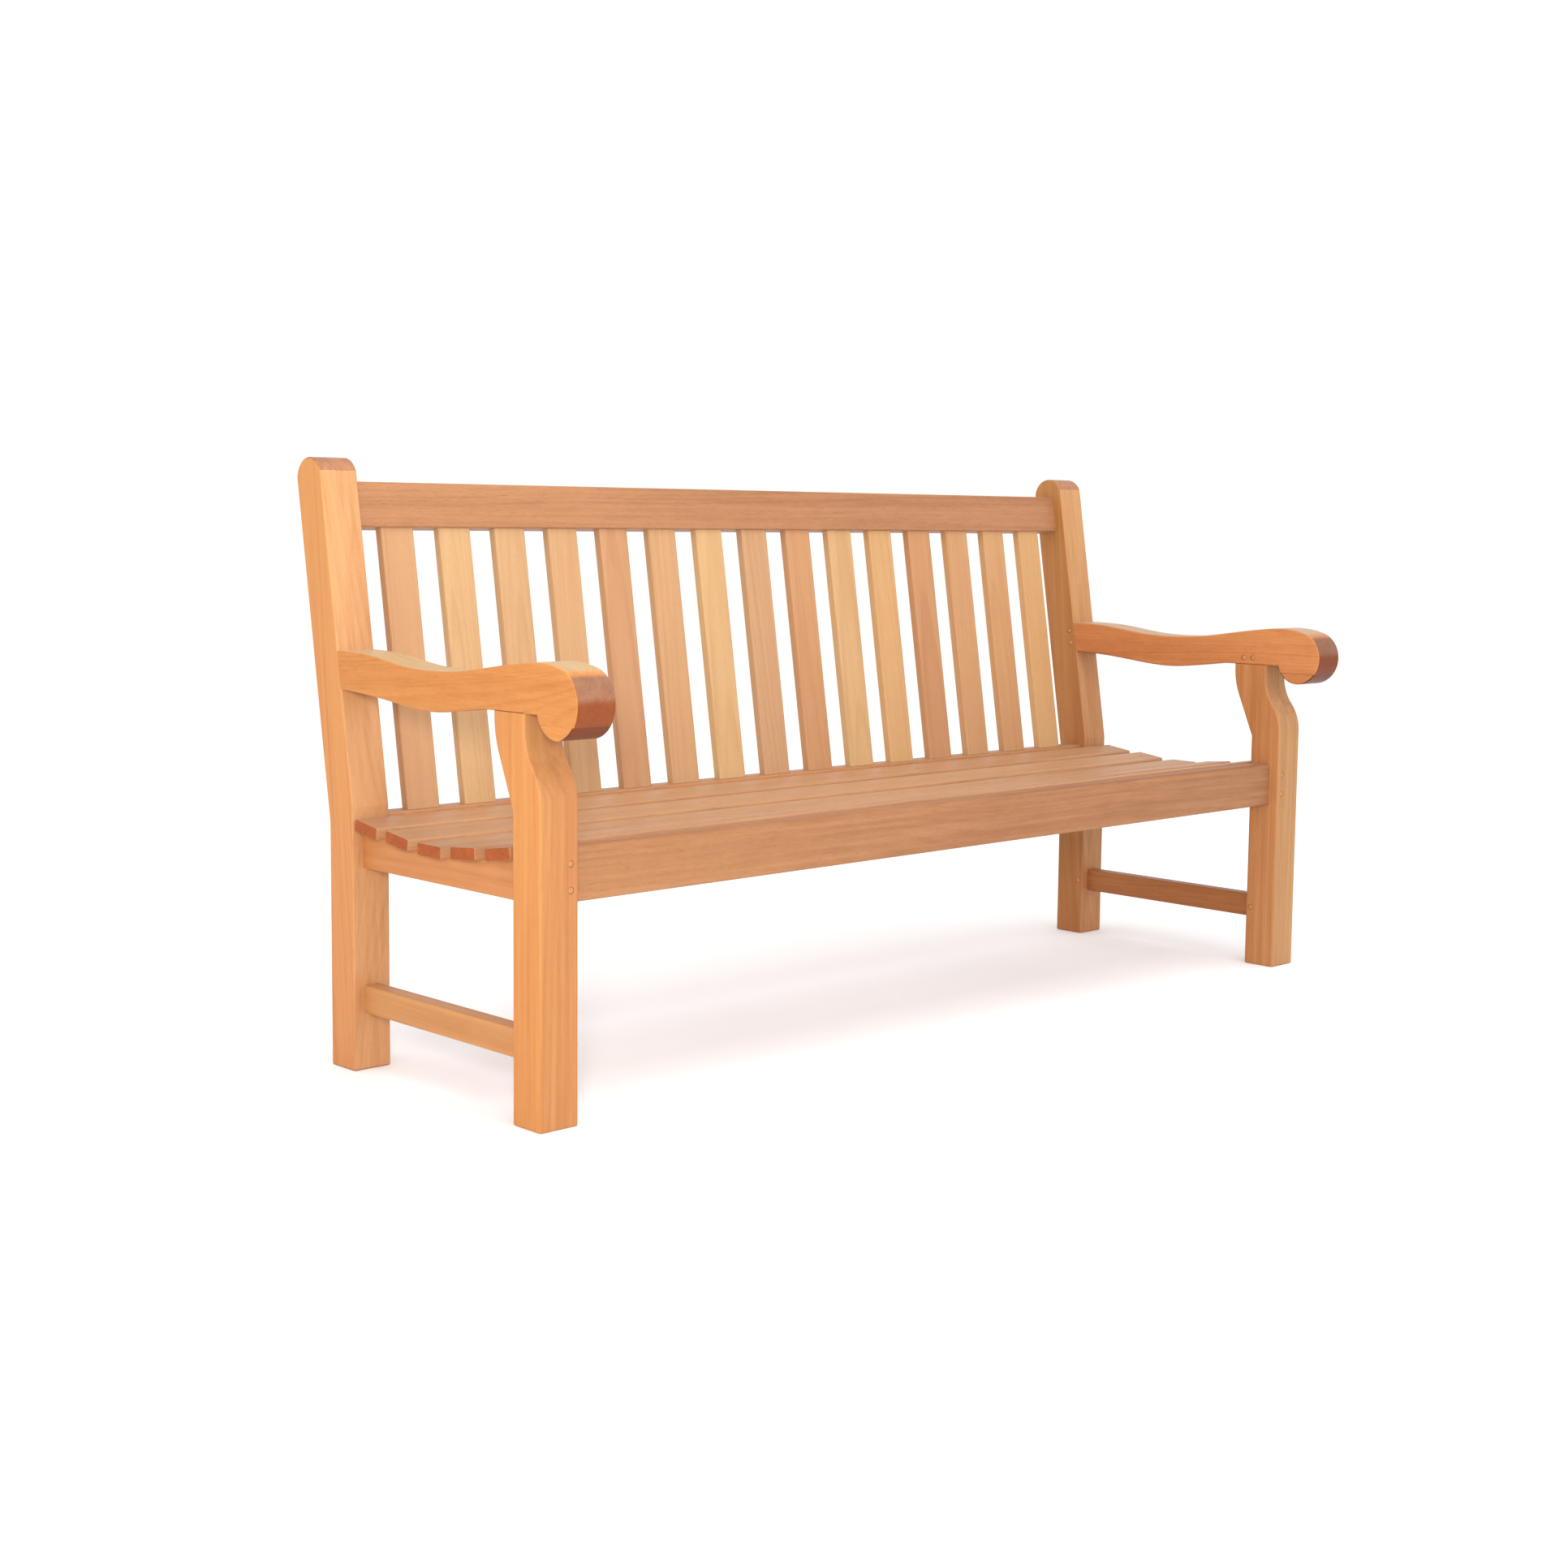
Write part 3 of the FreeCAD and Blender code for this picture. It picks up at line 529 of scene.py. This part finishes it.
def makeSlatTree():
    tree, given = newTree("slat row", {
        "Width": ("INPUT", "Float", 0.06),
        "Thickness": ("INPUT", "Float", 0.017),
        "Length": ("INPUT", "Float", 0.46),
        "Ease": ("INPUT", "Float", 0.0035),
        "Lean": ("INPUT", "Float", 0.0),
        "Wander": ("INPUT", "Float", 0.0002),
        "Wood": ("INPUT", "Material", None),
    })
    # a cube of unit half sides, whose outer rows of cells become the eased edge and its margin
    cells, rim, margin = backSlat["cells"], backSlat["rim"], backSlat["margin"]
    counts = {"Vertices " + axis: n + 1 for axis, n in zip("XYZ", cells)}
    cube = put(tree, "GeometryNodeMeshCube", {"Size": (2, 2, 2), **counts})
    flatEnd = tuple(1 - 2 * (rim + margin) / n for n in cells)
    rimStart = tuple(1 - 2 * rim / n for n in cells)
    marginCells = tuple(2 * margin / n for n in cells)
    rimCells = tuple(2 * rim / n for n in cells)
    spot = put(tree, "GeometryNodeInputPosition")
    sides = {0: given["Width"], 1: given["Thickness"], 2: given["Length"]}
    size = put(tree, "ShaderNodeCombineXYZ", sides)
    half = vectors(tree, "SCALE", size)
    half.node.inputs["Scale"].default_value = 0.5
    inner = vectors(tree, "SUBTRACT", half, given["Ease"])
    edge = (backSlat["marginWidth"],) * 3
    flat = vectors(tree, "SUBTRACT", inner, edge)
    away = vectors(tree, "ABSOLUTE", spot)
    onFlat = vectors(tree, "MINIMUM", vectors(tree, "DIVIDE", away, flatEnd), (1, 1, 1))
    onMargin = vectors(tree, "DIVIDE", vectors(tree, "SUBTRACT", away, flatEnd), marginCells)
    onMargin = vectors(tree, "MINIMUM", vectors(tree, "MAXIMUM", onMargin, (0, 0, 0)), (1, 1, 1))
    onRim = vectors(tree, "DIVIDE", vectors(tree, "SUBTRACT", away, rimStart), rimCells)
    onRim = vectors(tree, "MAXIMUM", onRim, (0, 0, 0))
    out = vectors(tree, "MULTIPLY", onFlat, flat)
    out = vectors(tree, "MULTIPLY_ADD", onMargin, edge, out)
    out = vectors(tree, "MULTIPLY_ADD", onRim, given["Ease"], out)
    core = vectors(tree, "MINIMUM", out, inner)
    corner = vectors(tree, "NORMALIZE", vectors(tree, "SUBTRACT", out, core))
    shell = vectors(tree, "MULTIPLY_ADD", corner, given["Ease"], core)
    shell = vectors(tree, "MULTIPLY", shell, vectors(tree, "SIGN", spot))
    board = put(tree, "GeometryNodeSetPosition", {"Geometry": cube, "Position": shell})
    board = store(tree, board, "grain", "FLOAT_VECTOR", put(tree, "GeometryNodeInputPosition"))
    lean = put(tree, "ShaderNodeCombineXYZ", {0: given["Lean"]})
    feeds = {"Points": given["Geometry"], "Instance": board, "Rotation": lean}
    row = put(tree, "GeometryNodeInstanceOnPoints", feeds)
    row = put(tree, "GeometryNodeRealizeInstances", {"Geometry": row})
    grain = recall(tree, "grain", "FLOAT_VECTOR")
    stretched = vectors(tree, "MULTIPLY", grain, backSlat["wanderScale"])
    feeds = {"Vector": stretched, "W": recall(tree, "seed"), "Scale": 1.0, "Detail": 1.0}
    stray = put(tree, "ShaderNodeTexNoise", feeds, noise_dimensions="4D")
    stray = maths(tree, "MULTIPLY", maths(tree, "SUBTRACT", stray, 0.5), given["Wander"])
    push = vectors(tree, "SCALE", put(tree, "GeometryNodeInputNormal"))
    tree.links.new(stray, push.node.inputs["Scale"])
    row = put(tree, "GeometryNodeSetPosition", {"Geometry": row, "Offset": push})
    row = put(tree, "GeometryNodeSetShadeSmooth", {"Geometry": row, "Shade Smooth": True})
    row = put(tree, "GeometryNodeSetMaterial", {"Geometry": row, "Material": given["Wood"]})
    put(tree, "NodeGroupOutput", {"Geometry": row}, None)
    return tree


def makeSlatWood():
    material, tree = startMaterial("teak_back_slats")
    place = attribute(tree, "grain", "Vector")
    turned = {"Vector": put(tree, "ShaderNodeTexCoord", out="Normal"), "Rotation": turns["raked"]}
    facing = put(tree, "ShaderNodeMapping", turned, vector_type="TEXTURE")
    changes = {key: attribute(tree, key.lower()) for key in ("Tone", "Blush", "Seed")}
    warmth = attribute(tree, "warmth")
    changes["Tint And Painted Light"] = blend(tree, warmth, opaque((1, 1, 1)), opaque(backSlat["warm"]))
    changes["Heart"] = attribute(tree, "heart", "Vector")
    finishTeak(tree, "backSlat", place, facing, changes)
    return material


slatNodes = sorted(name for name in nodes if name.startswith("back_slat"))
slatRandom = np.random.default_rng(backSlat["draw"])
slatSpots = []
for number, node in enumerate(slatNodes):
    low, high = localBox(node, -rake)
    centre = Matrix.Rotation(-rake, 3, "X") @ Vector((low + high) / 2)
    slatSpots.append({
        "at": centre,
        "tone": backSlat["tones"][number],
        "blush": backSlat["blushes"][number],
        "warmth": backSlat["warmths"][number],
        "seed": number + backSlat["firstSeed"],
        "heart": (*(slatRandom.uniform(*span) for span in backSlat["hearts"]), 0.0),
    })
slatSize = high - low
backSlats = grow("back_slats", slatSpots, makeSlatTree(), {
    "Width": slatSize[0],
    "Thickness": slatSize[1],
    "Length": slatSize[2],
    "Ease": backSlat["ease"],
    "Lean": -rake,
    "Wander": backSlat["wander"],
    "Wood": makeSlatWood(),
})
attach(backSlats, "root")
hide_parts(*slatNodes)
print("back slats:", len(slatSpots))


peg = {
    "radius": 0.005,
    "sides": 28,
    "rings": 5,
    "proud": 0.0001,
    "crown": 0.02,  # how far the rim of an end falls, as a share of the length
    "crownPower": 4.0,
    "grainSize": (0.005, 0.005, 0.02),
    "heart": (0.003, 0.002, 0.0),
    # painted shadow: a dark line round the rim of each peg's end, where the gap to its hole lies
    "rim": (0.30, 0.12, 0.040),
    "gapShadowSpan": (0.0038, 0.0049),
    "tones": (-0.3, 0.6),
    "seeds": (0.0, 50.0),
    "draw": 7,
}
plug = {"crown": 0.004, "seed": 31.0, "heart": (-0.09, 0.05, 0.0), "deepest": 0.02}
pegNodes = sorted(name for name in nodes if name.endswith("_pegs"))


def makePegTree():
    tree, given = newTree("peg set", {
        "Radius": ("INPUT", "Float", 0.005),
        "Crown": ("INPUT", "Float", 0.02),
        "Wood": ("INPUT", "Material", None),
    })
    feeds = {"Vertices": peg["sides"], "Side Segments": 2, "Fill Segments": peg["rings"]}
    feeds.update({"Radius": 1.0, "Depth": 1.0})
    dowel = put(tree, "GeometryNodeMeshCylinder", feeds, fill_type="TRIANGLE_FAN")
    spot = put(tree, "GeometryNodeInputPosition")
    out = vectors(tree, "LENGTH", vectors(tree, "MULTIPLY", spot, (1, 1, 0)), out=1)
    height = part(tree, spot, "Z")
    drop = maths(tree, "MULTIPLY", maths(tree, "POWER", out, peg["crownPower"]), given["Crown"])
    side = maths(tree, "SIGN", height)
    fall = maths(tree, "MULTIPLY", maths(tree, "MULTIPLY", drop, side), -1.0)
    onEnd = maths(tree, "GREATER_THAN", maths(tree, "ABSOLUTE", height), 0.49)  # ends lie at 0.5
    shift = put(tree, "ShaderNodeCombineXYZ", {2: maths(tree, "MULTIPLY", fall, onEnd)})
    dowel = put(tree, "GeometryNodeSetPosition", {"Geometry": dowel, "Offset": shift})
    scaled = vectors(tree, "MULTIPLY", put(tree, "GeometryNodeInputPosition"), peg["grainSize"])
    dowel = store(tree, dowel, "grain", "FLOAT_VECTOR", scaled)
    axis = recall(tree, "axis", "FLOAT_VECTOR")
    turn = put(tree, "FunctionNodeAlignRotationToVector", {"Vector": axis}, axis="Z")
    feeds = {0: given["Radius"], 1: given["Radius"], 2: recall(tree, "reach")}
    scale = put(tree, "ShaderNodeCombineXYZ", feeds)
    feeds = {"Points": given["Geometry"], "Instance": dowel, "Rotation": turn, "Scale": scale}
    pegs = put(tree, "GeometryNodeInstanceOnPoints", feeds)
    pegs = put(tree, "GeometryNodeRealizeInstances", {"Geometry": pegs})
    pegs = put(tree, "GeometryNodeSetShadeSmooth", {"Geometry": pegs, "Shade Smooth": True})
    pegs = put(tree, "GeometryNodeSetMaterial", {"Geometry": pegs, "Material": given["Wood"]})
    put(tree, "NodeGroupOutput", {"Geometry": pegs}, None)
    return tree


def makePegWood():
    material, tree = startMaterial("teak_pegs")
    place = attribute(tree, "grain", "Vector")
    facing = put(tree, "ShaderNodeCombineXYZ", {2: 1.0})
    out = vectors(tree, "LENGTH", vectors(tree, "MULTIPLY", place, (1, 1, 0)), out=1)
    # painted shadow line round the rim of the peg's end
    rim = ramp(tree, out, *peg["gapShadowSpan"])
    changes = {key: attribute(tree, key.lower()) for key in ("Tone", "Seed")}
    changes["End"] = blend(tree, rim, opaque(finishes["peg"]["End"]), opaque(peg["rim"]))
    changes["Heart"] = peg["heart"]
    finishTeak(tree, "peg", place, facing, changes)
    return material


def makePlugWood():
    # cut across the plank, so that their grain lies with the slats'
    material, tree = startMaterial("teak_plugs")
    laid = {"Vector": put(tree, "ShaderNodeTexCoord", out="Object"), "Rotation": turns["across"]}
    place = put(tree, "ShaderNodeMapping", laid, vector_type="TEXTURE")
    facing = put(tree, "ShaderNodeCombineXYZ", {0: 1.0})
    changes = {"Tone": attribute(tree, "tone"), "Seed": plug["seed"], "Heart": plug["heart"]}
    finishTeak(tree, "seatSlat", place, facing, changes)
    return material


def islands(node):
    # the separate solids of a node, as arrays of their corners
    points = np.array([v.co for v in nodes[node].data.vertices])
    keys = {}
    owner = list(range(len(points)))

    def root(i):
        while owner[i] != i:
            owner[i] = owner[owner[i]]
            i = owner[i]
        return i

    for i, point in enumerate(np.round(points, 6)):
        first = keys.setdefault(tuple(point), i)
        owner[root(i)] = root(first)
    for edge in nodes[node].data.edges:
        owner[root(edge.vertices[0])] = root(edge.vertices[1])
    groups = {}
    for i in range(len(points)):
        groups.setdefault(root(i), []).append(points[i])
    return [np.unique(np.round(group, 6), axis=0) for group in groups.values()]


def dowelSpots(names, random):
    spots = []
    for node in names:
        for points in islands(node):
            centre = (points.min(0) + points.max(0)) / 2
            # a peg is longest along its axis, and a plug shortest
            spread = np.linalg.svd(points - centre, full_matrices=False)[2]
            long = np.ptp((points - centre) @ spread[0]) > plug["deepest"]
            axis = spread[0] if long else spread[2]
            spots.append({
                "at": Vector(centre),
                "axis": tuple(axis),
                "reach": float(np.ptp((points - centre) @ axis)) + 2 * peg["proud"],
                "tone": random.uniform(*peg["tones"]),
                "seed": random.uniform(*peg["seeds"]),
            })
    return spots


def growDowels(name, spots, crown, wood):
    values = {"Radius": peg["radius"], "Crown": crown, "Wood": wood}
    reaches = sorted({round(spot["reach"], 4) for spot in spots})
    print(name + ":", len(spots), "with lengths", reaches)
    return grow(name, spots, pegTree, values)


pegRandom = np.random.default_rng(peg["draw"])
pegTree = makePegTree()
pegs = growDowels("joint_pegs", dowelSpots(pegNodes, pegRandom), peg["crown"], makePegWood())
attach(pegs, "root")
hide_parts(*pegNodes)

plugSpots = dowelSpots(["seat_plugs"], pegRandom)
plugs = growDowels("slat_plugs", plugSpots, plug["crown"], makePlugWood())
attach(plugs, "root")
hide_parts("seat_plugs")


brass = {
    "bright": (0.72, 0.50, 0.20),
    "dull": (0.50, 0.31, 0.11),
    "tarnish": {"Scale": 400.0, "Detail": 3.0},
    "roughSpan": (0.3, 0.7, 0.25, 0.5),
}


def makeBrass():
    material, tree = startMaterial("brass_screws")
    source = put(tree, "ShaderNodeTexCoord", out="Object")
    tarnish = put(tree, "ShaderNodeTexNoise", {"Vector": source, **brass["tarnish"]})
    colour = blend(tree, tarnish, opaque(brass["bright"]), opaque(brass["dull"]))
    rough = ramp(tree, tarnish, *brass["roughSpan"])
    feeds = {"Base Color": colour, "Roughness": rough, "Metallic": 1.0}
    shader = put(tree, "ShaderNodeBsdfPrincipled", feeds)
    put(tree, "ShaderNodeOutputMaterial", {"Surface": shader}, None)
    return material


wear("seat_screws", makeBrass())
print("screws: finished in brass")


studio = {
    "floor": 60.0,  # from the middle to each edge
    "floorColour": (0.965, 0.965, 0.965),
    "floorRough": 0.9,
    "floorSpecular": 0.1,
    "world": 1.08,
}
# each lamp's place, the point that it looks at, its width, power and colour
lamps = {
    "flash": ((-2.8, -2.6, 1.15), (-0.2, 0.0, 0.5), 0.5, 68.0, (1.0, 0.98, 0.95)),
    "overhead": ((-0.5, -0.8, 3.2), (0.0, 0.0, 0.4), 2.5, 35.0, (1.0, 0.99, 0.97)),
    "front": ((0.3, -4.0, 1.4), (0.0, 0.0, 0.5), 1.8, 45.0, (0.84, 0.97, 1.22)),
}


def makeFloor():
    mesh = bpy.data.meshes.new("studio_floor")
    reach = studio["floor"]
    corners = [(-reach, -reach, 0), (reach, -reach, 0), (reach, reach, 0), (-reach, reach, 0)]
    mesh.from_pydata(corners, [], [(0, 1, 2, 3)])
    floor = bpy.data.objects.new("studio_floor", mesh)
    bpy.context.scene.collection.objects.link(floor)
    material, tree = startMaterial("studio_floor")
    shader = put(tree, "ShaderNodeBsdfPrincipled", {
        "Base Color": opaque(studio["floorColour"]),
        "Roughness": studio["floorRough"],
        "Specular IOR Level": studio["floorSpecular"],
    })
    put(tree, "ShaderNodeOutputMaterial", {"Surface": shader}, None)
    mesh.materials.append(material)


def makeWorld():
    world = bpy.data.worlds.new("studio")
    world.use_nodes = True
    sky = world.node_tree.nodes["Background"].inputs
    sky["Color"].default_value = (1, 1, 1, 1)
    sky["Strength"].default_value = studio["world"]
    bpy.context.scene.world = world


def addLamp(name, place, target, size, watts, colour):
    lamp = bpy.data.lights.new(name, "AREA")
    lamp.shape = "DISK"
    lamp.size = size
    lamp.energy = watts
    lamp.color = colour
    holder = bpy.data.objects.new(name, lamp)
    holder.location = place
    holder.rotation_euler = (Vector(target) - Vector(place)).to_track_quat("-Z", "Y").to_euler()
    bpy.context.scene.collection.objects.link(holder)


view = {
    "place": (-2.6757, -2.5582, 0.8209),
    "heading": math.radians(42.743),
    "dip": math.radians(5.781),
    "roll": math.radians(0.458),
    "lens": 50.354,
    "sensor": 36.0,
    "shift": (0.0323, -0.0234),
    "farthest": 200.0,
}


def makeCamera():
    camera = bpy.data.cameras.new("viewpoint")
    camera.lens = view["lens"]
    camera.sensor_width = view["sensor"]
    camera.shift_x, camera.shift_y = view["shift"]
    camera.clip_end = view["farthest"]
    holder = bpy.data.objects.new("viewpoint", camera)
    aim = Matrix.Rotation(-view["heading"], 4, "Z")
    aim = aim @ Matrix.Rotation(math.pi / 2 - view["dip"], 4, "X")
    aim = aim @ Matrix.Rotation(view["roll"], 4, "Z")
    holder.matrix_world = Matrix.Translation(view["place"]) @ aim
    bpy.context.scene.collection.objects.link(holder)
    bpy.context.scene.camera = holder


makeFloor()
makeWorld()
for name, lamp in lamps.items():
    addLamp(name, *lamp)
makeCamera()
bpy.context.scene.view_settings.view_transform = "Standard"
bpy.context.scene.view_settings.look = "None"
print("studio: floor, lamps and camera set")
